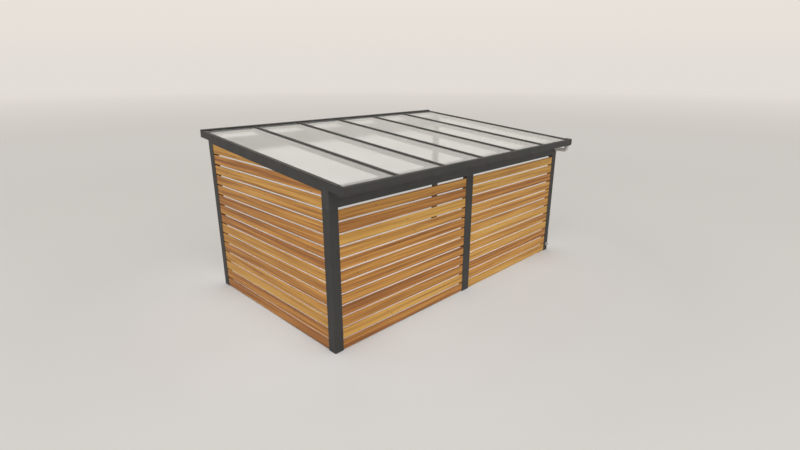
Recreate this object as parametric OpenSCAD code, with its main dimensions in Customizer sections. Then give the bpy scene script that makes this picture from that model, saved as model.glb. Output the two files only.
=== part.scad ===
// Free-standing patio roof: aluminium posts and beams carry a mono-pitch
// glass roof with a gutter along its low side. The low side and the left side
// are closed with horizontal wooden slats, the other two sides are open.
//
// Frame: +X runs along the low side to the right, +Y runs up the slope to the
// back and +Z is up. The origin is on the ground, under the middle of the roof.

/* [Roof] */
// Width of the roof along the low side
roof_w = 6000; // [4200:10:7200]
// Depth of the roof from the gutter's face to the back edge, in plan
roof_d = 4000; // [3000:10:5000]
// Slope of the roof in degrees
roof_slope = 5.2; // [3:0.1:9]
// Number of panes side by side
bays = 6; // [4:1:7]
// Overhang of the gutter's face beyond the front posts
front_over = 315; // [280:5:450]
// Overhang of the back edge beyond the back posts
back_over = 295; // [150:5:450]

/* [Posts and beams] */
// Clear height under the front beam
front_clear = 2153; // [2000:1:2500]
// Side of a square post
post_w = 110; // [100:1:160]
// Wall of a post
post_wall = 4; // [3:0.5:6]
// Outer corner radius of a post
post_r = 4; // [2:0.5:8]
// Height of a beam at its front face
beam_h = 250; // [220:1:300]
// Wall of a beam
beam_wall = 4; // [3:0.5:8]
// Diameter of a drain hole under a beam
drain_d = 12; // [6:1:20]
// Distance of a drain hole from the beam's end
drain_in = 150; // [120:5:300]

/* [Rafters] */
// Width of a rafter
rafter_w = 60; // [50:1:90]
// Height of a rafter, square to the slope
rafter_h = 90; // [70:1:140]
// Wall of a rafter
rafter_wall = 3; // [2:0.5:5]
// Width of the screw spine on top of a rafter
spine_w = 14; // [10:1:20]
// Width of the screw groove in the spine
groove_w = 5; // [3:0.5:6]
// Depth of the screw groove in the spine
groove_d = 12; // [6:1:16]

/* [Glazing] */
// Thickness of a pane
pane_t = 10; // [6:1:16]
// Height of the rubber strip under a pane
bed_h = 3; // [2:0.5:5]
// Width of the rubber strip under a pane
bed_w = 10; // [6:1:14]
// Gap between a pane and the spine beside it
pane_side_gap = 4; // [2:0.5:6]
// How far a pane reaches over the gutter's back wall
pane_lap = 55; // [30:5:70]
// Height of a cover cap above the pane
cap_h = 14.5; // [10:0.5:20]
// Wall of a cover cap
cap_wall = 2.5; // [2:0.5:4]
// Edge radius of a cover cap
cap_r = 2; // [1:0.5:4]

/* [Gutter] */
// Depth of the gutter, front to back
gutter_d = 130; // [110:1:160]
// Height of the gutter
gutter_h = 132; // [110:1:160]
// Height of the gutter's underside below the foot of the rafters
gutter_drop = 14; // [4:1:30]
// Radius of the gutter's lower front edge
gutter_low_r = 45; // [25:1:50]
// Radius of the gutter's upper front edge
gutter_top_r = 20; // [10:1:30]
// Wall of the gutter
gutter_wall = 2.5; // [2:0.5:4]
// Width of the front lip, from the face to the opening
lip_w = 46; // [30:1:55]
// Length of an end cap along the gutter
end_l = 18; // [12:1:30]
// How far an end cap stands proud of the gutter
end_proud = 6; // [4:0.5:12]
// Thickness of an end cap's plate
end_t = 3; // [2:0.5:5]
// Rounding of an end cap's outer edge
end_r = 4; // [1:0.5:6]
// Wall of the drain nozzle under the gutter
nozzle_wall = 2.5; // [2:0.5:4]
// How far the drain nozzle reaches into the socket
nozzle_l = 25; // [15:1:30]

/* [Back edge] */
// Height of the back profile, square to the slope
back_h = 133; // [130:1:200]
// Reach of its top flange over the panes
back_flange = 60; // [40:1:90]
// Wall of the back profile
back_wall = 4; // [3:0.5:6]

/* [Slat walls] */
// Height of a slat
slat_h = 150; // [90:0.5:180]
// Thickness of a slat
slat_t = 21; // [18:1:36]
// Gap between two slats
slat_gap = 27.5; // [15:0.5:45]
// Height of the lowest slat above the ground
slat_foot = 12; // [4:1:30]
// Edge chamfer of a slat
slat_chamfer = 2; // [1:0.5:4]
// Width of the upright channel that holds the slat ends
channel_w = 40; // [30:1:60]
// Wall of the channel
channel_wall = 4; // [2:0.5:5]
// Height of the sloping channel over the side slats
head_channel_h = 40; // [30:1:60]
// Room left at a slat's end inside the channel
slat_end_gap = 2; // [1:0.5:5]

/* [Drainage] */
// How far the pipe stands inwards of the corner post's middle
pipe_in = 8; // [0:0.5:8]
// Outer diameter of the drain pipe
pipe_d = 75; // [60:1:80]
// Wall of the drain pipe
pipe_wall = 2.5; // [2:0.5:4]
// Radius of a pipe bend along its centre line
bend_r = 48; // [42:1:50]
// Outer diameter of a pipe socket
socket_d = 88; // [82:1:95]
// Length of the socket under the gutter
socket_l = 36; // [30:1:50]
// Straight pipe between the socket and the bend
neck_stub = 6; // [2:1:15]
// Height of the foot outlet's centre above the ground
spout_z = 138; // [110:1:250]
// How far the foot outlet stands out of the post
spout_out = 34; // [20:1:60]

/* [Fits] */
// Clearance between pieces that seat in each other
seat = 0.3; // [0.2:0.1:0.5]

/* [Hidden] */
$fn = 48;
over = 1;          // overshoot of a cutting tool
far = 20000;       // longer than any piece

// Plan lines: the roof's front and back edges and the posts' outer faces. The
// gutter's end caps stand proud of its face, and count in the middle's place.
gutter_front = (end_proud - roof_d) / 2;
roof_back = gutter_front + roof_d;
side_x = roof_w / 2;
front_y = gutter_front + front_over;
back_y = roof_back - back_over;
post_mid = side_x - post_w / 2;

// Roof frame: its origin is at the rafters' underside over the front faces of
// the front posts, and its Y axis runs up the slope.
rise = tan(roof_slope);
eaves_z = front_clear + beam_h;
slope_end = (roof_back - front_y) / cos(roof_slope);
rafter_end = slope_end - back_wall;
rafter_pitch = (roof_w - rafter_w) / bays;
pane_bottom = rafter_h + bed_h;
pane_top = pane_bottom + pane_t;
cap_top = pane_top + cap_h;
pane_w = rafter_pitch - spine_w - 2 * pane_side_gap;
pane_end = rafter_end - pane_side_gap;
lip_end = slope_end - back_flange;

// Gutter: section in the YZ plane
gutter_back = gutter_front + gutter_d;
gutter_z = eaves_z + (gutter_back - front_y) * rise - gutter_drop;
gutter_mid = gutter_front + gutter_d / 2;
back_wall_z = gutter_z + gutter_drop + rafter_h / cos(roof_slope) - gutter_wall;
pane_front = (gutter_back - pane_lap - front_y) / cos(roof_slope);

// Slat walls
side_y0 = front_y + post_w;
side_y1 = back_y - post_w;
slat_pitch = slat_h + slat_gap;
channel_d = slat_t + 2 * (channel_wall + seat);
slat_face = channel_wall + seat;
bay_left = [-side_x + post_w, -post_w / 2];
bay_right = [post_w / 2, side_x - post_w];
front_count = floor((front_clear - slat_foot + slat_gap) / slat_pitch);
least_slat = 60;
side_top_z = eaves_z + (side_y1 - front_y) * rise - head_channel_h;
side_count = ceil((side_top_z - slat_foot - least_slat) / slat_pitch);

// Drainage: the pipe's bend under the gutter and its run to the post
pipe_x = post_mid - pipe_in;
pipe_post_y = front_y + post_w / 2;
socket_top = gutter_z - end_proud - seat;
neck_z = socket_top - socket_l - neck_stub - bend_r;
nozzle_d = pipe_d - 2 * pipe_wall - 2 * seat;

frame_colour = [0.27, 0.27, 0.25];
wood_colour = [0.72, 0.48, 0.2];
pane_colour = [0.86, 0.85, 0.83, 0.6];
rubber_colour = [0.08, 0.08, 0.08];
pipe_colour = [0.62, 0.62, 0.6];

// Height of the rafters' underside at a place along Y
function under_z(y) = eaves_z + (y - front_y) * rise;
// Centre line of rafter number i, counted from 0
function rafter_x(i) = -side_x + rafter_w / 2 + i * rafter_pitch;
// Foot of slat number k, counted from 0
function slat_z(k) = slat_foot + k * slat_pitch;

// ---------------------------------------------------------------- sections

// Square with rounded corners, centred
module rounded_square(w, d, r) {
    square([w - 2 * r, d], center = true);
    square([w, d - 2 * r], center = true);
    for (x = [-1, 1], y = [-1, 1])
        translate([x * (w / 2 - r), y * (d / 2 - r)]) circle(r);
}

// Put a section drawn in (Y, Z) into the model and extrude it from x0 to x1
module along_x(x0, x1) {
    translate([x0, 0, 0]) rotate([90, 0, 90]) linear_extrude(x1 - x0) children();
}

// Put a section drawn in (X, height) into the roof frame and extrude it up the
// slope from s0 to s1
module up_slope(s0, s1) {
    translate([0, front_y, eaves_z]) rotate([roof_slope, 0, 0])
        translate([0, s1, 0]) rotate([90, 0, 0]) linear_extrude(s1 - s0) children();
}

// ------------------------------------------------------------------- posts

// Square tube that stands on the ground
module post_tube(x, y, h) {
    translate([x, y, 0]) linear_extrude(h) difference() {
        rounded_square(post_w, post_w, post_r);
        square(post_w - 2 * post_wall, center = true);
    }
}

module front_post(x) {
    post_tube(x, front_y + post_w / 2, front_clear);
}

module back_post(x) {
    post_tube(x, back_y - post_w / 2, under_z(back_y - post_w) - beam_h);
}

// Round opening in the front wall of the right post, for the pipe
module pipe_opening(z) {
    translate([pipe_x, front_y - over, z]) rotate([-90, 0, 0])
        cylinder(d = pipe_d + 2 * seat, h = post_wall + 2 * over);
}

module post_front_right() {
    difference() {
        front_post(post_mid);
        pipe_opening(spout_z);
    }
}

// ------------------------------------------------------------------- beams

// Section of a beam in (Y, Z): its top follows the slope. inset thins it.
module beam_section(y, z, inset) {
    y0 = y + inset;
    y1 = y + post_w - inset;
    z0 = z + inset;
    polygon([[y0, z0], [y1, z0], [y1, under_z(y1) - inset], [y0, under_z(y0) - inset]]);
}

// Box beam over a row of posts, closed at its ends and drained below
module beam(y, z) {
    difference() {
        along_x(-side_x, side_x) beam_section(y, z, 0);
        along_x(-side_x + beam_wall, side_x - beam_wall) beam_section(y, z, beam_wall);
        for (x = [-1, 1])
            translate([x * (side_x - drain_in), y + post_w / 2, z - over])
                cylinder(d = drain_d, h = beam_wall + 2 * over);
    }
}

module front_beam() {
    difference() {
        beam(front_y, front_clear);
        neck_passage();
    }
}

module back_beam() {
    beam(back_y - post_w, under_z(back_y - post_w) - beam_h);
}

// Way of the pipe through the front wall and the underside of the front beam
module neck_passage() {
    translate([pipe_x, front_y - over, neck_z]) rotate([-90, 0, 0])
        cylinder(d = pipe_d + 2 * seat, h = beam_wall + 2 * over);
    translate([pipe_x, pipe_post_y, front_clear - over])
        cylinder(d = pipe_d + 2 * seat, h = beam_wall + 2 * over);
}

// ----------------------------------------------------------------- rafters

// Hollow box section
module rafter_box() {
    difference() {
        translate([-rafter_w / 2, 0]) square([rafter_w, rafter_h]);
        translate([-rafter_w / 2 + rafter_wall, rafter_wall])
            square([rafter_w - 2 * rafter_wall, rafter_h - 2 * rafter_wall]);
    }
}

// Spine on top of the box, with a groove for the cap's screws
module rafter_spine() {
    spine_top = cap_top - cap_wall;
    difference() {
        translate([-spine_w / 2, rafter_h]) square([spine_w, spine_top - rafter_h]);
        translate([-groove_w / 2, spine_top - groove_d]) square([groove_w, groove_d + over]);
    }
}

// Cuts off what lies in front of the gutter's back wall
module behind_gutter() {
    difference() {
        children();
        translate([-far / 2, gutter_back - far, 0]) cube(far);
    }
}

// A rafter runs from the gutter's back wall to the back profile
module rafter(i) {
    behind_gutter() translate([rafter_x(i), 0, 0]) {
        up_slope(pane_front, rafter_end) rafter_box();
        up_slope(pane_front, lip_end) rafter_spine();
    }
}

// ----------------------------------------------------------------- glazing

// Rubber strips on the rafters' top edges, two on each inner rafter
module bed_gaskets() {
    for (i = [0:bays - 1], x = [rafter_x(i) + rafter_w / 2 - bed_w, rafter_x(i + 1) - rafter_w / 2])
        behind_gutter()
            translate([x, 0, 0]) up_slope(pane_front, pane_end)
                translate([0, rafter_h]) square([bed_w, bed_h]);
}

module pane(i) {
    translate([rafter_x(i) + rafter_pitch / 2, 0, 0])
        up_slope(pane_front, pane_end)
            translate([-pane_w / 2, pane_bottom]) square([pane_w, pane_t]);
}

// Section of a cover cap: an upside-down channel that clamps both panes
module cap_section() {
    difference() {
        union() {
            translate([0, pane_top + cap_h / 2]) rounded_square(rafter_w, cap_h, cap_r);
            translate([-rafter_w / 2, pane_top]) square([rafter_w, cap_h / 2]);
        }
        translate([-rafter_w / 2 + cap_wall, pane_top - over])
            square([rafter_w - 2 * cap_wall, cap_h - cap_wall + over]);
    }
}

// Leg that closes the outer side of an edge rafter, down to the rafter's top
module cap_leg(side) {
    translate([side > 0 ? rafter_w / 2 - cap_wall : -rafter_w / 2, rafter_h])
        square([cap_wall, pane_top + cap_h / 2 - rafter_h]);
}

// An inner cap reaches as far over the gutter as the panes do
module inner_cap(i) {
    translate([rafter_x(i), 0, 0]) up_slope(pane_front, lip_end) cap_section();
}

// An edge cap ends at the gutter's end cap
module edge_cap(i, side) {
    behind_gutter() translate([rafter_x(i), 0, 0])
        up_slope(pane_front, lip_end) {
            cap_section();
            cap_leg(side);
        }
}

module cover_cap(i) {
    if (i == 0) edge_cap(i, -1);
    else if (i == bays) edge_cap(i, 1);
    else inner_cap(i);
}

// ------------------------------------------------------------------ gutter

// Outline of the gutter in (Y, Z). grow moves all but its back outwards.
module gutter_outline(grow) {
    low_r = gutter_low_r + grow;
    top_r = gutter_top_r + grow;
    w = gutter_d + grow;
    h = gutter_h + 2 * grow;
    translate([gutter_front - grow, gutter_z - grow]) {
        translate([low_r, 0]) square([w - low_r, low_r]);
        translate([0, low_r]) square([w, h - low_r - top_r]);
        translate([top_r, h - top_r]) square([w - top_r, top_r]);
        translate([low_r, low_r]) circle(low_r);
        translate([top_r, h - top_r]) circle(top_r);
    }
}

// Its wall is open above, from the lip to the back wall
module gutter_section() {
    difference() {
        gutter_outline(0);
        difference() {
            gutter_outline(-gutter_wall);
            translate([gutter_back - gutter_wall, gutter_z]) square([gutter_wall, gutter_h]);
        }
        translate([gutter_front + lip_w, gutter_z + gutter_h / 2])
            square([gutter_d - lip_w - gutter_wall, gutter_h]);
        translate([gutter_mid, back_wall_z]) square([gutter_d, gutter_h]);
    }
}

// Drain nozzle: it hangs under the gutter and reaches into the pipe's socket
module nozzle(d, z0, z1) {
    translate([pipe_x, gutter_mid, z0]) cylinder(d = d, h = z1 - z0);
}

module gutter() {
    end_x = side_x - end_t - seat;
    difference() {
        union() {
            along_x(-end_x, end_x) gutter_section();
            nozzle(nozzle_d, socket_top - nozzle_l, gutter_z + gutter_wall);
        }
        nozzle(nozzle_d - 2 * nozzle_wall, socket_top - nozzle_l - over, gutter_z + gutter_low_r);
    }
}

// A rod of radius end_r round one corner of the end cap, turned from angle a
module end_corner(y, z, r, a) {
    translate([side_x - end_r, y, z]) rotate([90, 0, 90]) rotate([0, 0, a])
        rotate_extrude(angle = 90) translate([r - end_r, 0]) circle(end_r);
}

// Cap over the gutter's right end: a plate with a rim and a rounded outer edge
module gutter_end() {
    y0 = gutter_front - end_proud;
    z0 = gutter_z - end_proud;
    z1 = gutter_z + gutter_h + end_proud;
    low_r = gutter_low_r + end_proud;
    top_r = gutter_top_r + end_proud;
    difference() {
        union() {
            along_x(side_x - end_l, side_x - end_r) gutter_outline(end_proud);
            along_x(side_x - end_r, side_x) gutter_outline(end_proud - end_r);
            end_corner(y0 + low_r, z0 + low_r, low_r, 180);
            end_corner(y0 + top_r, z1 - top_r, top_r, 90);
            translate([side_x - end_r, y0 + end_r, z0 + low_r])
                cylinder(r = end_r, h = z1 - z0 - low_r - top_r);
            translate([side_x - end_r, y0 + low_r, z0 + end_r]) rotate([-90, 0, 0])
                cylinder(r = end_r, h = gutter_back - y0 - low_r);
            translate([side_x - end_r, y0 + top_r, z1 - end_r]) rotate([-90, 0, 0])
                cylinder(r = end_r, h = gutter_back - y0 - top_r);
        }
        along_x(side_x - end_l - over, side_x - end_t) gutter_outline(seat);
        nozzle(nozzle_d + 2 * seat, socket_top - over, gutter_z + over);
    }
}

// -------------------------------------------------------------- back edge

// Section in the roof frame, in (slope, height): back plate, top flange and lip
module back_profile() {
    translate([0, front_y, eaves_z]) rotate([roof_slope, 0, 0])
        along_x(-side_x, side_x) {
            translate([rafter_end, 0]) square([back_wall, back_h]);
            translate([lip_end, back_h - back_wall]) square([back_flange, back_wall]);
            translate([lip_end, pane_top + seat])
                square([back_wall, back_h - pane_top - seat]);
        }
}

// -------------------------------------------------------------- slat walls

// Upright channel in plan: its web lies on the post, its mouth faces along +X
module channel_plan() {
    difference() {
        square([channel_w, channel_d]);
        translate([channel_wall, channel_wall])
            square([channel_w, channel_d - 2 * channel_wall]);
    }
}

// The two channels of a front bay between x0 and x1
module front_channels(x0, x1) {
    translate([x0, front_y, 0]) linear_extrude(front_clear) channel_plan();
    translate([x1, front_y, 0]) linear_extrude(front_clear) mirror([1, 0]) channel_plan();
}

// Keeps what lies under the rafters, less a depth
module below_roof(less) {
    intersection() {
        children();
        along_x(-far / 2, far / 2)
            polygon([[front_y, 0], [back_y, 0],
                     [back_y, under_z(back_y) - less], [front_y, under_z(front_y) - less]]);
    }
}

module channels_side() {
    below_roof(0) {
        translate([-side_x, side_y0, 0]) linear_extrude(far / 2)
            mirror([1, -1]) channel_plan();
        translate([-side_x, side_y1, 0]) linear_extrude(far / 2)
            mirror([0, 1]) mirror([1, -1]) channel_plan();
    }
}

// Sloping channel under the edge rafter, with its mouth down
module head_channel() {
    y0 = side_y0 + channel_w;
    y1 = side_y1 - channel_w;
    difference() {
        along_x(-side_x, -side_x + channel_d)
            polygon([[y0, under_z(y0) - head_channel_h], [y1, under_z(y1) - head_channel_h],
                     [y1, under_z(y1)], [y0, under_z(y0)]]);
        along_x(-side_x + channel_wall, -side_x + channel_d - channel_wall)
            polygon([[y0 - over, under_z(y0) - far / 2], [y1 + over, under_z(y1) - far / 2],
                     [y1 + over, under_z(y1 + over) - channel_wall],
                     [y0 - over, under_z(y0 - over) - channel_wall]]);
    }
}

// Section of a slat in (thickness, height) with chamfered edges
module slat_section(h) {
    c = slat_chamfer;
    polygon([[c, 0], [slat_t - c, 0], [slat_t, c], [slat_t, h - c],
             [slat_t - c, h], [c, h], [0, h - c], [0, c]]);
}

// The slats of a front bay between x0 and x1
module front_slats(x0, x1) {
    end = channel_wall + slat_end_gap;
    for (k = [0:front_count - 1])
        along_x(x0 + end, x1 - end)
            translate([front_y + slat_face, slat_z(k)]) slat_section(slat_h);
}

// Spacers in a front bay's channels: the slats stand on them
module front_spacers(x0, x1) {
    w = channel_w - channel_wall - slat_end_gap;
    for (x = [x0 + channel_wall, x1 - channel_wall - w], k = [0:front_count]) {
        z0 = k == 0 ? 0 : slat_z(k - 1) + slat_h;
        z1 = k == front_count ? front_clear : slat_z(k);
        translate([x, front_y + slat_face, z0]) cube([w, slat_t, z1 - z0]);
    }
}

// The side slats: the upper ones are cut to the slope of the roof
module slats_side() {
    end = channel_wall + slat_end_gap;
    below_roof(channel_wall + seat)
        for (k = [0:side_count - 1])
            translate([-side_x + slat_face, side_y1 - end, slat_z(k)]) rotate([90, 0, 0])
                linear_extrude(side_y1 - side_y0 - 2 * end)
                    slat_section(k < side_count - 1 ? slat_h : slat_pitch + least_slat);
}

module spacers_side() {
    w = channel_w - channel_wall - slat_end_gap;
    below_roof(channel_wall + seat)
        for (y = [side_y0 + channel_wall, side_y1 - channel_wall - w], k = [0:side_count - 1]) {
            z0 = k == 0 ? 0 : slat_z(k - 1) + slat_h;
            translate([-side_x + slat_face, y, z0]) cube([slat_t, w, slat_z(k) - z0]);
        }
}

// ---------------------------------------------------------------- drainage

// Section of the pipe at a distance r from the origin
module pipe_ring(r) {
    translate([r, 0]) difference() {
        circle(d = pipe_d);
        circle(d = pipe_d - 2 * pipe_wall);
    }
}

module pipe(l) {
    linear_extrude(l) pipe_ring(0);
}

// Quarter bend in the YZ plane: it starts at the origin along +Y and turns down
module pipe_bend() {
    translate([0, 0, -bend_r]) rotate([90, 0, 90]) rotate_extrude(angle = 90) pipe_ring(bend_r);
}

// Socket under the gutter, a bend and the run to the post
module swan_neck() {
    run_y = gutter_mid + bend_r;
    bend_z = neck_z + bend_r;
    translate([pipe_x, gutter_mid, socket_top - socket_l]) linear_extrude(socket_l) difference() {
        circle(d = socket_d);
        circle(d = pipe_d - 2 * pipe_wall);
    }
    translate([pipe_x, gutter_mid, bend_z]) pipe(socket_top - socket_l - bend_z);
    // bend from straight down to along +Y
    translate([pipe_x, run_y, neck_z]) mirror([0, 1, 0]) mirror([0, 0, 1]) pipe_bend();
    translate([pipe_x, run_y, neck_z]) rotate([-90, 0, 0])
        pipe(pipe_post_y - bend_r - run_y);
}

// Hidden in the right front post: a bend, the long pipe and a bend at the foot
module downpipe() {
    translate([pipe_x, pipe_post_y - bend_r, neck_z]) pipe_bend();
    translate([pipe_x, pipe_post_y, spout_z + bend_r])
        pipe(neck_z - spout_z - 2 * bend_r);
    translate([pipe_x, pipe_post_y - bend_r, spout_z]) mirror([0, 0, 1]) pipe_bend();
}

// The pipe's end that stands out of the post's foot
module foot_outlet() {
    translate([pipe_x, front_y - spout_out, spout_z]) rotate([-90, 0, 0])
        pipe(spout_out + post_w / 2 - bend_r);
}

// ------------------------------------------------------------------- nodes

color(frame_colour) front_post(-post_mid);  // post_front_left
color(frame_colour) front_post(0);  // post_front_middle
color(frame_colour) post_front_right();
color(frame_colour) back_post(-post_mid);  // post_back_left
color(frame_colour) back_post(post_mid);  // post_back_right
color(frame_colour) front_beam();
color(frame_colour) back_beam();
for (i = [0:bays])
    color(frame_colour) rafter(i);
color(rubber_colour) bed_gaskets();
for (i = [0:bays - 1])
    color(pane_colour) pane(i);
for (i = [0:bays])
    color(frame_colour) cover_cap(i);
color(frame_colour) gutter();
color(frame_colour) mirror([1, 0, 0]) gutter_end();  // gutter_end_left
color(frame_colour) gutter_end();  // gutter_end_right
color(frame_colour) back_profile();
color(frame_colour) front_channels(bay_left[0], bay_left[1]);  // channels_front_left
color(frame_colour) front_channels(bay_right[0], bay_right[1]);  // channels_front_right
color(frame_colour) channels_side();
color(frame_colour) head_channel();
color(wood_colour) front_slats(bay_left[0], bay_left[1]);  // slats_front_left
color(wood_colour) front_slats(bay_right[0], bay_right[1]);  // slats_front_right
color(wood_colour) slats_side();
color(rubber_colour) front_spacers(bay_left[0], bay_left[1]);  // spacers_front_left
color(rubber_colour) front_spacers(bay_right[0], bay_right[1]);  // spacers_front_right
color(rubber_colour) spacers_side();
color(pipe_colour) swan_neck();
color(pipe_colour) downpipe();
color(pipe_colour) foot_outlet();
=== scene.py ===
from functools import partial
from math import atan2, cos, pi, radians

import bmesh
import bpy
from mathutils import Matrix, Vector


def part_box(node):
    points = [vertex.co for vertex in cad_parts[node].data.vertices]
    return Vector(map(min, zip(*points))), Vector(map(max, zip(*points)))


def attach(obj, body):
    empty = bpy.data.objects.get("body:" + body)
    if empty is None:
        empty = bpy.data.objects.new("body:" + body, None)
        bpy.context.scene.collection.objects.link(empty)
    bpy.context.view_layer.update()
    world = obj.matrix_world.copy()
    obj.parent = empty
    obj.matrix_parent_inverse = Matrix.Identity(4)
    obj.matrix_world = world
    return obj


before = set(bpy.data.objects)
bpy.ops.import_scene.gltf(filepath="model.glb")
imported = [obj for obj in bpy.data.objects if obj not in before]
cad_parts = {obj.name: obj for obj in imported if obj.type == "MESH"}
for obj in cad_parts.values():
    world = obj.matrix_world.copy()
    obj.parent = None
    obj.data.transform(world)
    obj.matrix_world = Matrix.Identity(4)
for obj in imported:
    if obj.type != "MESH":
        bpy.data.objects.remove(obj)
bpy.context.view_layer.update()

# ------------------------------------------------------------------ camera
# It stands off the corner where the two slat walls meet, more than a metre
# above the gutter, and looks down along the diagonal of the roof.

camera_data = bpy.data.cameras.new("camera")
camera_data.lens = 21.71
camera_data.sensor_width = 36.0
camera_data.clip_end = 400.0
camera = bpy.data.objects.new("camera", camera_data)
camera.location = (-6.5897, -6.5741, 3.901)
camera.rotation_euler = (radians(71.96), 0.0, radians(-45.0))
bpy.context.scene.collection.objects.link(camera)
bpy.context.scene.camera = camera
bpy.context.scene.view_settings.view_transform = "Standard"

# --------------------------------------------------------- floor and light
# A pale studio floor that runs out into a pale sky, under an even soft light:
# one broad lamp high over the closed corner, and a dim one under the roof.


def linear(r, g, b):
    """An sRGB colour of 0 to 255 as the linear colour that a shader takes."""
    def channel(v):
        v /= 255.0
        return v / 12.92 if v <= 0.04045 else ((v + 0.055) / 1.055) ** 2.4
    return (channel(r), channel(g), channel(b), 1.0)


def new_material(name):
    """A material, its node tree and its shader."""
    material = bpy.data.materials.new(name)
    material.use_nodes = True
    tree = material.node_tree
    return material, tree, tree.nodes["Principled BSDF"]


def add(tree, kind, **values):
    """A shader node with its properties, and its inputs by name, set."""
    node = tree.nodes.new(kind)
    for key, value in values.items():
        if key in node.inputs:
            node.inputs[key].default_value = value
        else:
            setattr(node, key, value)
    return node


def feed(tree, value, socket):
    """Set a socket to a value, or link another node's output to it."""
    if isinstance(value, bpy.types.NodeSocket):
        tree.links.new(value, socket)
    else:
        socket.default_value = value


def ramp(tree, source, *stops):
    """A colour ramp over source. Each stop is (place, colour)."""
    node = tree.nodes.new("ShaderNodeValToRGB")
    elements = node.color_ramp.elements
    while len(elements) < len(stops):
        elements.new(0.5)
    for element, (place, colour) in zip(elements, stops):
        element.position = place
        element.color = colour
    tree.links.new(source, node.inputs["Fac"])
    return node.outputs["Color"]


def calc(tree, operation, *values):
    """A Math node over one or two values or outputs."""
    node = add(tree, "ShaderNodeMath", operation=operation)
    for socket, value in zip(node.inputs, values):
        feed(tree, value, socket)
    return node.outputs[0]


def mix(tree, blend_type, factor, first, second):
    """Two colours mixed. The factor and each colour is a value or an output."""
    node = add(tree, "ShaderNodeMix", data_type="RGBA", blend_type=blend_type)
    first_colour, second_colour, mixed_colour = node.inputs[6], node.inputs[7], node.outputs[2]
    feed(tree, factor, node.inputs["Factor"])
    feed(tree, first, first_colour)
    feed(tree, second, second_colour)
    return mixed_colour


floor_reach = 90.0
floor_mesh = bmesh.new()
bmesh.ops.create_circle(floor_mesh, cap_ends=True, segments=96, radius=floor_reach)
floor_data = bpy.data.meshes.new("floor")
floor_mesh.to_mesh(floor_data)
floor_mesh.free()
floor = bpy.data.objects.new("floor", floor_data)
floor.location = (0.0, 0.0, -0.0005)
bpy.context.scene.collection.objects.link(floor)

floor_finish, tree, shader = new_material("floor_finish")
shader.inputs["Roughness"].default_value = 0.9
shader.inputs["Specular IOR Level"].default_value = 0.1
across = add(tree, "ShaderNodeSeparateXYZ")
tree.links.new(add(tree, "ShaderNodeTexCoord").outputs["Object"], across.inputs[0])


def distance_from(tree, split, low, high):
    """How far a point of the floor is from the upright box of low and high."""
    squares = []
    for axis in (0, 1):
        off_middle = calc(tree, "ABSOLUTE", calc(
            tree, "SUBTRACT", split.outputs[axis], (low[axis] + high[axis]) / 2))
        beyond = calc(tree, "MAXIMUM", calc(
            tree, "SUBTRACT", off_middle, (high[axis] - low[axis]) / 2), 0.0)
        squares.append(calc(tree, "MULTIPLY", beyond, beyond))
    return calc(tree, "SQRT", calc(tree, "ADD", *squares))


# The floor's tone grows lighter far out. Beside the slat walls it is lighter
# too, which evens out their soft shade. That shade is weaker towards a wall's
# ends, so each wall counts as one run shorter at both ends.
floor_middle = (0.0, 0.0)
from_middle = distance_from(tree, across, floor_middle, floor_middle)
far_tone = ramp(tree, calc(tree, "DIVIDE", from_middle, floor_reach),
                (0.00, linear(199, 200, 202)), (0.06, linear(200, 201, 203)),
                (0.095, linear(207, 208, 210)), (0.20, linear(217, 219, 222)),
                (0.32, linear(222, 222, 225)), (0.53, linear(233, 233, 236)),
                (0.90, linear(246, 246, 248)))
shade_reach = 4.0
front_run, side_run = Vector((1.2, 0.0, 0.0)), Vector((0.0, 0.9, 0.0))
from_walls = calc(
    tree, "MINIMUM",
    distance_from(tree, across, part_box("slats_front_left")[0] + front_run,
                  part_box("slats_front_right")[1] - front_run),
    distance_from(tree, across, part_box("slats_side")[0] + side_run,
                  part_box("slats_side")[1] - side_run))
wall_shade = ramp(tree, calc(tree, "DIVIDE", from_walls, shade_reach),
                  (0.00, (0.80, 0.75, 0.71, 1.0)), (0.25, (0.89, 0.88, 0.86, 1.0)),
                  (0.50, (0.96, 0.96, 0.955, 1.0)), (0.80, (1.0, 1.0, 1.0, 1.0)))
tree.links.new(mix(tree, "DIVIDE", 1.0, far_tone, wall_shade), shader.inputs["Base Color"])
floor_data.materials.append(floor_finish)

world = bpy.data.worlds.new("studio")
world.use_nodes = True
bpy.context.scene.world = world
tree = world.node_tree
sky = tree.nodes["Background"]
upwards = add(tree, "ShaderNodeSeparateXYZ")
tree.links.new(add(tree, "ShaderNodeTexCoord").outputs["Generated"], upwards.inputs[0])
tree.links.new(ramp(tree, upwards.outputs["Z"],
                    (0.0, linear(227, 221, 215)), (0.14, linear(234, 228, 219))),
               sky.inputs["Color"])
sky.inputs["Strength"].default_value = 1.0


def soft_lamp(name, width, depth, energy, place, target, colour):
    """A soft panel of light that faces its target."""
    data = bpy.data.lights.new(name, "AREA")
    data.shape = "RECTANGLE"
    data.size = width
    data.size_y = depth
    data.energy = energy
    data.color = colour
    lamp = bpy.data.objects.new(name, data)
    lamp.location = place
    towards = Vector(target) - Vector(place)
    lamp.rotation_euler = towards.to_track_quat("-Z", "Y").to_euler()
    bpy.context.scene.collection.objects.link(lamp)
    return lamp


soft_lamp("overhead_lamp", 10.0, 8.0, 860.0,
          (-4.6, -5.2, 14.0), (0.0, 0.0, 1.0), (1.0, 0.985, 0.965))
fill_lamp = soft_lamp("fill_lamp", 5.6, 3.0, 57.0,
                      (0.0, 0.0, 2.1), (0.0, 0.0, 0.0), (1.0, 0.93, 0.85))
fill_lamp.visible_camera = False
fill_lamp.visible_glossy = False
fill_lamp.visible_transmission = False

# --------------------------------------------------------- aluminium frame
# Posts, beams, rafters, caps, gutter, channels and back profile are extruded
# aluminium with an anthracite powder coat: matt, with a fine pebbled skin and
# a faint cloudiness. The lengths are bolted and screwed from inside.

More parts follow.
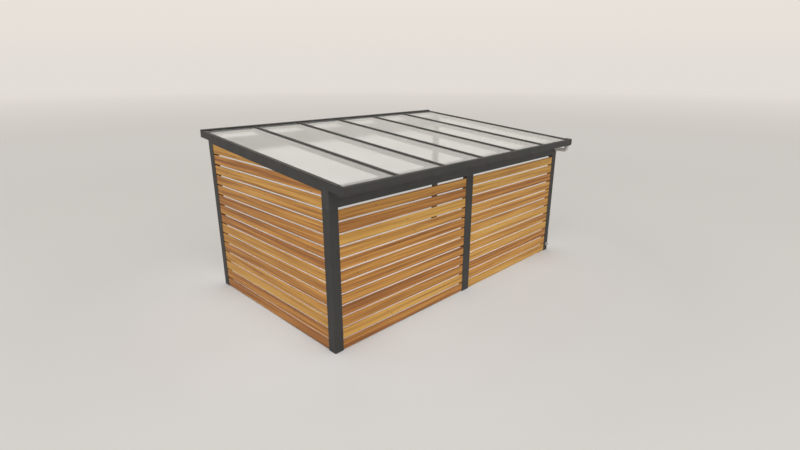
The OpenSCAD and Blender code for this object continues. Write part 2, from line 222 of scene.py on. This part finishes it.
rafter_numbers = range(1, 8)
post_nodes = [
    "post_front_left", "post_front_middle", "post_front_right",
    "post_back_left", "post_back_right",
]
anthracite_nodes = post_nodes + [
    "gutter", "gutter_end_left", "gutter_end_right", "back_profile",
    "channels_front_left", "channels_front_right", "channels_side",
    "head_channel",
] + [f"rafter_{i}" for i in rafter_numbers]


def noise(tree, vector, scale, detail=3.0, roughness=0.5):
    """Soft noise from 0 to 1, most of it between 0.3 and 0.7."""
    node = add(tree, "ShaderNodeTexNoise", Scale=scale, Detail=detail, Roughness=roughness)
    tree.links.new(vector, node.inputs["Vector"])
    return node.outputs["Fac"]


def bump(tree, shader, height, distance, strength=1.0):
    """Relief of that depth in metres on a shader's surface."""
    node = add(tree, "ShaderNodeBump", Distance=distance, Strength=strength)
    tree.links.new(height, node.inputs["Height"])
    tree.links.new(node.outputs["Normal"], shader.inputs["Normal"])


def spread(tree, source, low, high):
    """source, from 0.3 to 0.7, spread over low to high."""
    node = add(tree, "ShaderNodeMapRange")
    for socket, value in zip(("From Min", "From Max", "To Min", "To Max"),
                             (0.3, 0.7, low, high)):
        node.inputs[socket].default_value = value
    tree.links.new(source, node.inputs["Value"])
    return node.outputs["Result"]


def powder_coat(name, dark, light):
    """A matt coat whose tone drifts from dark to light."""
    material, tree, shader = new_material(name)
    at = add(tree, "ShaderNodeTexCoord").outputs["Object"]
    clouds = noise(tree, at, 2.3, 4.0)
    tree.links.new(ramp(tree, clouds, (0.32, dark), (0.68, light)),
                   shader.inputs["Base Color"])
    tree.links.new(spread(tree, noise(tree, at, 5.0), 0.46, 0.58),
                   shader.inputs["Roughness"])
    shader.inputs["Specular IOR Level"].default_value = 0.22
    bump(tree, shader, noise(tree, at, 700.0, 2.0), 0.00006)
    return material


def finish_node(name, material):
    """Give a CAD node its finish, in each of its material slots."""
    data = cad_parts[name].data
    if not data.materials:
        data.materials.append(material)
    for i in range(len(data.materials)):
        data.materials[i] = material


for coat, dark, light, nodes in (
        ("anthracite_powder_coat", linear(60, 61, 61), linear(66, 66, 65), anthracite_nodes),
        # The beams' coat is painted a little lighter than the rest of the frame. This painted
        # light evens out the shade that the gutter casts on the beam's face.
        ("beam_coat_painted_lighter", linear(65, 66, 66), linear(71, 71, 70),
         ["front_beam", "back_beam"]),
        ("cap_powder_coat", linear(60, 60, 58), linear(66, 65, 63),
         [f"cover_cap_{i}" for i in rafter_numbers])):
    coat_material = powder_coat(coat, dark, light)
    for name in nodes:
        finish_node(name, coat_material)

# ------------------------------------------------- frame screws and plugs
# Button head screws of coated steel hold the back plate to the rafters, the
# end plates to the gutter and the boards in their channels. Plastic plugs
# close the holes over the bolts that join each post to its beam.

slope = atan2(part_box("back_beam")[1].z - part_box("front_beam")[1].z,
              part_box("back_beam")[1].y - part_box("front_beam")[1].y)
up_roof = Matrix.Rotation(slope, 4, "X")
facing_back = Matrix.Rotation(-pi / 2, 4, "X")
facing_front = Matrix.Rotation(pi / 2, 4, "X")
facing_right = Matrix.Rotation(pi / 2, 4, "Y")
facing_left = Matrix.Rotation(-pi / 2, 4, "Y")

# Each head's radius and height.
plate_screw = (0.0065, 0.0032)
gutter_screw = (0.0045, 0.0020)
channel_screw = (0.0045, 0.0022)
bolt_plug = (0.009, 0.0024)


def mottled(name, tones, tone_scale, roughness, gloss_scale, relief=None):
    """A finish whose tone and gloss drift a little, and its shader. A relief
    is its noise's scale and its depth in metres."""
    material, tree, shader = new_material(name)
    dark, light = tones
    at = add(tree, "ShaderNodeTexCoord").outputs["Object"]
    tree.links.new(ramp(tree, noise(tree, at, tone_scale), (0.3, dark), (0.7, light)),
                   shader.inputs["Base Color"])
    tree.links.new(spread(tree, noise(tree, at, gloss_scale), *roughness),
                   shader.inputs["Roughness"])
    if relief:
        relief_scale, depth = relief
        bump(tree, shader, noise(tree, at, relief_scale, 2.0), depth)
    return material, shader


def new_piece(name, mesh, material):
    """Turn a bmesh into a piece that rides with the frame."""
    bmesh.ops.recalc_face_normals(mesh, faces=mesh.faces)
    for face in mesh.faces:
        face.smooth = True
    data = bpy.data.meshes.new(name)
    mesh.to_mesh(data)
    mesh.free()
    data.set_sharp_from_angle(angle=radians(38))
    data.materials.append(material)
    piece = bpy.data.objects.new(name, data)
    bpy.context.scene.collection.objects.link(piece)
    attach(piece, "root")


def edges_of(made):
    """The edges of what an operator has just made, each of them once."""
    return list(dict.fromkeys(edge for v in made["verts"] for edge in v.link_edges))


def round_edges(mesh, edges, offset, segments):
    """Round edges over with a bevel."""
    bmesh.ops.bevel(mesh, geom=edges, offset=offset, offset_type="OFFSET", segments=segments,
                    profile=0.5, affect="EDGES", clamp_overlap=True, material=-1)


def turned_head(mesh, place, size, socket):
    """A low round head with a rounded rim, and a round socket if it has one."""
    radius, height = size
    sunk, rim_round = 0.0002, height * 0.6
    made = bmesh.ops.create_cone(
        mesh, cap_ends=True, segments=16, radius1=radius, radius2=radius, depth=height,
        matrix=place @ Matrix.Translation((0.0, 0.0, height / 2 - sunk)))
    outwards = (place.to_3x3() @ Vector((0.0, 0.0, 1.0))).normalized()
    middle = place.translation + outwards * height / 2
    rim = [edge for edge in edges_of(made)
           if all((v.co - middle).dot(outwards) > 0 for v in edge.verts)]
    round_edges(mesh, rim, rim_round, 2)
    if not socket:
        return
    top_middle = place.translation + outwards * (height - sunk)
    top = min(mesh.faces, key=lambda face: (face.calc_center_median() - top_middle).length)
    flat_ring, socket_wall, socket_depth = radius * 0.35, radius * 0.04, height * 0.5
    bmesh.ops.inset_individual(mesh, faces=[top], thickness=flat_ring, depth=0.0)
    bmesh.ops.inset_individual(mesh, faces=[top], thickness=socket_wall, depth=-socket_depth)


coated_steel, shader = mottled("coated_steel", (linear(46, 46, 45), linear(62, 61, 59)), 140.0,
                               (0.28, 0.42), 260.0)
shader.inputs["Metallic"].default_value = 0.6

plate_low, plate_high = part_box("back_profile")
half_rafter = 0.03
back_screws = bmesh.new()
for i in rafter_numbers:
    at_rafter = Matrix.Translation(
        (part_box(f"rafter_{i}")[0].x + half_rafter, plate_high.y, plate_low.z)) @ up_roof
    for up in (0.028, 0.068):
        turned_head(back_screws, at_rafter @ Matrix.Translation((0.0, 0.0, up)) @ facing_back,
                    plate_screw, True)
new_piece("back_profile_screws", back_screws, coated_steel)

# Each hole of an end plate, as shares of the plate's depth and height.
end_plate_holes = ((0.30, 0.62), (0.84, 0.22), (0.84, 0.84))
gutter_screws = bmesh.new()
for name, facing in (("gutter_end_left", facing_left), ("gutter_end_right", facing_right)):
    low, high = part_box(name)
    face_x = low.x if facing is facing_left else high.x
    for share_y, share_z in end_plate_holes:
        at_plate = Matrix.Translation((face_x, low.y + (high.y - low.y) * share_y,
                                       low.z + (high.z - low.z) * share_z))
        turned_head(gutter_screws, at_plate @ facing, gutter_screw, True)
new_piece("gutter_end_screws", gutter_screws, coated_steel)

screw_inset = 0.018
screw_heights = (0.18, 0.62, 1.06, 1.50, 1.94)
channel_screws = bmesh.new()
for name in ("channels_front_left", "channels_front_right"):
    low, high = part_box(name)
    for x in (low.x + screw_inset, high.x - screw_inset):
        for z in screw_heights:
            turned_head(channel_screws, Matrix.Translation((x, high.y, z)) @ facing_back,
                        channel_screw, True)
low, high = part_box("channels_side")
for y in (low.y + screw_inset, high.y - screw_inset):
    for z in (*screw_heights, 2.30):
        turned_head(channel_screws, Matrix.Translation((high.x, y, z)) @ facing_right,
                    channel_screw, True)
new_piece("channel_screws", channel_screws, coated_steel)

plug_plastic, _ = mottled("plug_plastic", (linear(40, 40, 39), linear(50, 50, 48)), 90.0,
                          (0.45, 0.6), 200.0)
plugs = bmesh.new()
for name in post_nodes:
    low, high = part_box(name)
    face_y, facing = (high.y, facing_back) if low.y < 0.0 else (low.y, facing_front)
    for down in (0.045, 0.115):
        at_post = Matrix.Translation(((low.x + high.x) / 2, face_y, high.z - down))
        turned_head(plugs, at_post @ facing, bolt_plug, False)
new_piece("post_plugs", plugs, plug_plastic)

# ------------------------------------------------ back profile's end plugs
# The hollow between the back profile's plate and its lip is closed at both
# ends with a moulded plastic plug, pushed in and flush with the side.

plug_length, plug_width, plug_height = 0.012, 0.0514, 0.0380
plug_sunk, plug_round = 0.0002, 0.0015
# From the plate's back face and foot to the plug's middle.
plug_in, plug_up = 0.0301, 0.1096
end_plugs = bmesh.new()
for outer, edge_x in ((-1.0, plate_low.x), (1.0, plate_high.x)):
    plug_x = edge_x - outer * (plug_length / 2 + plug_sunk)
    at_end = Matrix.Translation((plug_x, plate_high.y, plate_low.z)) @ up_roof
    made = bmesh.ops.create_cube(
        end_plugs, size=1.0, matrix=at_end @ Matrix.Translation((0.0, -plug_in, plug_up))
        @ Matrix.Diagonal((plug_length, plug_width, plug_height, 1.0)))
    outer_edges = [edge for edge in edges_of(made)
                   if all((v.co.x - edge_x) * outer > -plug_length / 2 for v in edge.verts)]
    round_edges(end_plugs, outer_edges, plug_round, 3)
new_piece("back_profile_plugs", end_plugs, plug_plastic)

# -------------------------------------------------------------- slat walls
# Planed larch boards, oiled to a honey colour. Each board is sawn from another
# place in the log, so each has its own tone and its own dark growth bands.

slat_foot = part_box("slats_side")[0].z
slat_pitch = 0.1775


def oiled_larch(name, along, seed, batch):
    """Wood whose grain runs along X (0) or Y (1), of a lighter or darker batch."""
    material, tree, shader = new_material(name)
    link = tree.links.new
    math = partial(calc, tree)
    at = add(tree, "ShaderNodeTexCoord").outputs["Object"]
    split = add(tree, "ShaderNodeSeparateXYZ")
    link(at, split.inputs[0])
    length, height = split.outputs[along], split.outputs[2]

    # The rows are counted from just under the lowest board. Each draws a tone,
    # a stain and its own place in the noise.
    rows_foot = slat_foot - 0.02
    board = math("FLOOR", math("DIVIDE", math("SUBTRACT", height, rows_foot), slat_pitch))
    lot = add(tree, "ShaderNodeTexWhiteNoise", noise_dimensions="1D")
    link(math("ADD", board, seed), lot.inputs["W"])
    tone = lot.outputs["Value"]
    drawn = add(tree, "ShaderNodeSeparateColor")
    link(lot.outputs["Color"], drawn.inputs[0])

    def grain(along_scale, across_scale, detail, roughness):
        """Noise drawn out along the board, from another place for each one."""
        jump_along = math("MULTIPLY", drawn.outputs[1], 60.0)
        jump_deeper = math("MULTIPLY", drawn.outputs[2], 40.0)
        where = add(tree, "ShaderNodeCombineXYZ")
        link(math("ADD", math("MULTIPLY", length, along_scale), jump_along), where.inputs[0])
        link(math("MULTIPLY", height, across_scale), where.inputs[1])
        link(jump_deeper, where.inputs[2])
        return noise(tree, where.outputs[0], 1.0, detail, roughness)

    bands = grain(0.45, 24.0, 3.0, 0.5)
    streaks = grain(1.1, 85.0, 4.0, 0.6)
    fibres = grain(5.0, 900.0, 2.0, 0.6)
    by_board = math("ADD", math("MULTIPLY", tone, 0.18), batch)
    by_grain = math("ADD", math("MULTIPLY", bands, 0.76), math("MULTIPLY", streaks, 0.40))
    colour = ramp(tree, math("ADD", by_board, by_grain),
                  (0.47, linear(224, 176, 98)), (0.63, linear(202, 149, 77)),
                  (0.75, linear(170, 118, 64)), (0.90, linear(132, 87, 50)))
    fine = mix(tree, "MULTIPLY", 0.35, colour,
               ramp(tree, fibres, (0.3, (0.62, 0.55, 0.48, 1.0)), (0.6, (1.0, 1.0, 1.0, 1.0))))
    stained = mix(tree, "MULTIPLY", 1.0, fine,
                  ramp(tree, drawn.outputs[0],
                       (0.15, (1.0, 1.03, 0.96, 1.0)), (0.85, (1.0, 0.92, 0.88, 1.0))))

    # Small tight knots, few to a board, with a soft rim. The Voronoi cells are
    # stretched, so a radius is a share of a cell and not a length.
    knot_radius, knot_share, rim_slope, knot_strength = 0.036, 0.30, 2.2, 0.85
    cells_along, cells_across = 2.6, 3.4
    knot_jump = math("MULTIPLY", drawn.outputs[1], 30.0)
    spot = add(tree, "ShaderNodeCombineXYZ")
    link(math("ADD", math("MULTIPLY", length, cells_along), knot_jump), spot.inputs[0])
    link(math("MULTIPLY", height, cells_across), spot.inputs[1])
    cells = add(tree, "ShaderNodeTexVoronoi", voronoi_dimensions="2D", Scale=1.0)
    link(spot.outputs[0], cells.inputs["Vector"])
    chosen = add(tree, "ShaderNodeSeparateColor")
    link(cells.outputs["Color"], chosen.inputs[0])
    edge = math("SUBTRACT", 1.0, math("DIVIDE", cells.outputs["Distance"], knot_radius))
    depth = math("MINIMUM", math("MAXIMUM", math("MULTIPLY", edge, rim_slope), 0.0), knot_strength)
    knot = math("MULTIPLY", math("LESS_THAN", chosen.outputs[0], knot_share), depth)
    link(mix(tree, "MIX", knot, stained, linear(84, 46, 26)), shader.inputs["Base Color"])
    link(spread(tree, streaks, 0.48, 0.62), shader.inputs["Roughness"])
    shader.inputs["Specular IOR Level"].default_value = 0.3
    bump(tree, shader, fibres, 0.0003, 0.6)
    return material


for name, along, seed, batch in (("slats_front_left", 0, 3.0, 0.0),
                                 ("slats_front_right", 0, 41.0, -0.04),
                                 ("slats_side", 1, 77.0, 0.0)):
    finish_node(name, oiled_larch(f"oiled_larch_{name}", along, seed, batch))

# ------------------------------------------------------------ slat spacers
# Moulded black plastic blocks that sit in the channels. Boards and blocks are
# stacked by turns, so the blocks carry the boards and keep them apart.

spacer_plastic, _ = mottled("spacer_plastic", (linear(36, 35, 33), linear(50, 48, 45)), 9.0,
                            (0.5, 0.65), 60.0)
for name in ("spacers_front_left", "spacers_front_right", "spacers_side"):
    finish_node(name, spacer_plastic)

# ----------------------------------------------------------------- glazing
# Milky frosted safety glass. It lets the light through and blurs what lies
# under it: rafters show as soft grey bands, the ground as an even pale tone.
# It lies on black rubber strips, and black lips seal it against the caps.

frosted, shader = mottled("frosted_glass", (linear(241, 243, 245), linear(249, 251, 253)), 1.7,
                          (0.05, 0.075), 6.0, relief=(60.0, 0.00001))
shader.inputs["Transmission Weight"].default_value = 0.86
shader.inputs["IOR"].default_value = 1.45
for i in rafter_numbers[:-1]:
    finish_node(f"pane_{i}", frosted)

rubber, _ = mottled("sealing_rubber", (linear(30, 30, 30), linear(42, 41, 40)), 12.0,
                    (0.6, 0.75), 150.0)
finish_node("bed_gaskets", rubber)


def rubber_lip(mesh, place, width, height, length):
    """A strip with a rounded back that lies along the Y axis of place."""
    made = bmesh.ops.create_cube(
        mesh, size=1.0, matrix=place @ Matrix.Translation((0.0, length / 2, height / 2))
        @ Matrix.Diagonal((width, length, height, 1.0)))
    back_to_place = place.inverted()
    back = []
    for edge in edges_of(made):
        a, b = (back_to_place @ v.co for v in edge.verts)
        if min(a.z, b.z) > height / 2 and abs(a.y - b.y) > length / 2:
            back.append(edge)
    back_round = min(width, height) * 0.45
    round_edges(mesh, back, back_round, 3)


# The roof's own frame: Y runs up the slope, Z is square to the panes, and the
# origin is under the panes' low edge, at the height of their top faces.
pane_thickness = 0.010
pane_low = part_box("pane_1")[0]
pane_foot = Matrix.Translation(
    (0.0, pane_low.y, pane_low.z + pane_thickness * cos(slope))) @ up_roof
lip_width, lip_height = 0.0035, 0.0028
lip_start, lip_stop = 0.002, 0.004
cap_length = (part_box("cover_cap_2")[1].y - pane_low.y) / cos(slope)
gutter_gap = (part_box("cover_cap_1")[0].y - pane_low.y) / cos(slope)
glazing_lips = bmesh.new()
for i in rafter_numbers:
    low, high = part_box(f"cover_cap_{i}")
    pane_on_left, pane_on_right = i > rafter_numbers[0], i < rafter_numbers[-1]
    start = lip_start if pane_on_left and pane_on_right else gutter_gap
    left_side = [low.x - lip_width / 2] if pane_on_left else []
    right_side = [high.x + lip_width / 2] if pane_on_right else []
    for x in left_side + right_side:
        rubber_lip(glazing_lips, pane_foot @ Matrix.Translation((x, start, 0.0)),
                   lip_width, lip_height, cap_length - start - lip_stop)
new_piece("glazing_lips", glazing_lips, rubber)

# -------------------------------------------------------------- drain pipe
# Light grey extruded plastic: a swan neck under the gutter, a pipe hidden in
# the beam and the post, and a short outlet at the post's foot.

pipe_plastic, _ = mottled("pipe_plastic", (linear(188, 189, 187), linear(202, 202, 200)), 8.0,
                          (0.36, 0.46), 40.0, relief=(300.0, 0.00005))
for name in ("swan_neck", "downpipe", "foot_outlet"):
    finish_node(name, pipe_plastic)

# ------------------------------------------------------------ pipe collars
# Soft rubber collars, pushed over the pipe against the aluminium, close the
# round openings where it enters the beam and where it leaves the post.

outlet_low, outlet_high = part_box("foot_outlet")
pipe_radius = (outlet_high.x - outlet_low.x) / 2
pipe_x = outlet_low.x + pipe_radius
beam_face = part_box("front_beam")[0].y


def turned_collar(mesh, place, section):
    """A ring turned round the Z axis of place from a closed section (r, z)."""
    corners = [mesh.verts.new(place @ Vector((r, 0.0, z))) for r, z in section]
    sides = [mesh.edges.new(pair) for pair in zip(corners, corners[1:] + corners[:1])]
    bmesh.ops.spin(mesh, geom=corners + sides, cent=place.translation,
                   axis=place.to_3x3() @ Vector((0.0, 0.0, 1.0)), angle=2 * pi, steps=48,
                   use_merge=True, use_duplicate=False)


# How far each corner stands off the pipe and off the aluminium: a flat flange,
# then a short sleeve.
collar_section = [(pipe_radius + off_pipe, off_face) for off_pipe, off_face in (
    (0.0006, 0.0001), (0.0090, 0.0001), (0.0090, 0.0020), (0.0076, 0.0036),
    (0.0050, 0.0046), (0.0034, 0.0070), (0.0016, 0.0078), (0.0006, 0.0076))]
collars = bmesh.new()
for z in (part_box("swan_neck")[0].z + pipe_radius, outlet_low.z + pipe_radius):
    at_pipe = Matrix.Translation((pipe_x, beam_face, z))
    turned_collar(collars, at_pipe @ facing_front, collar_section)
new_piece("pipe_collars", collars, rubber)
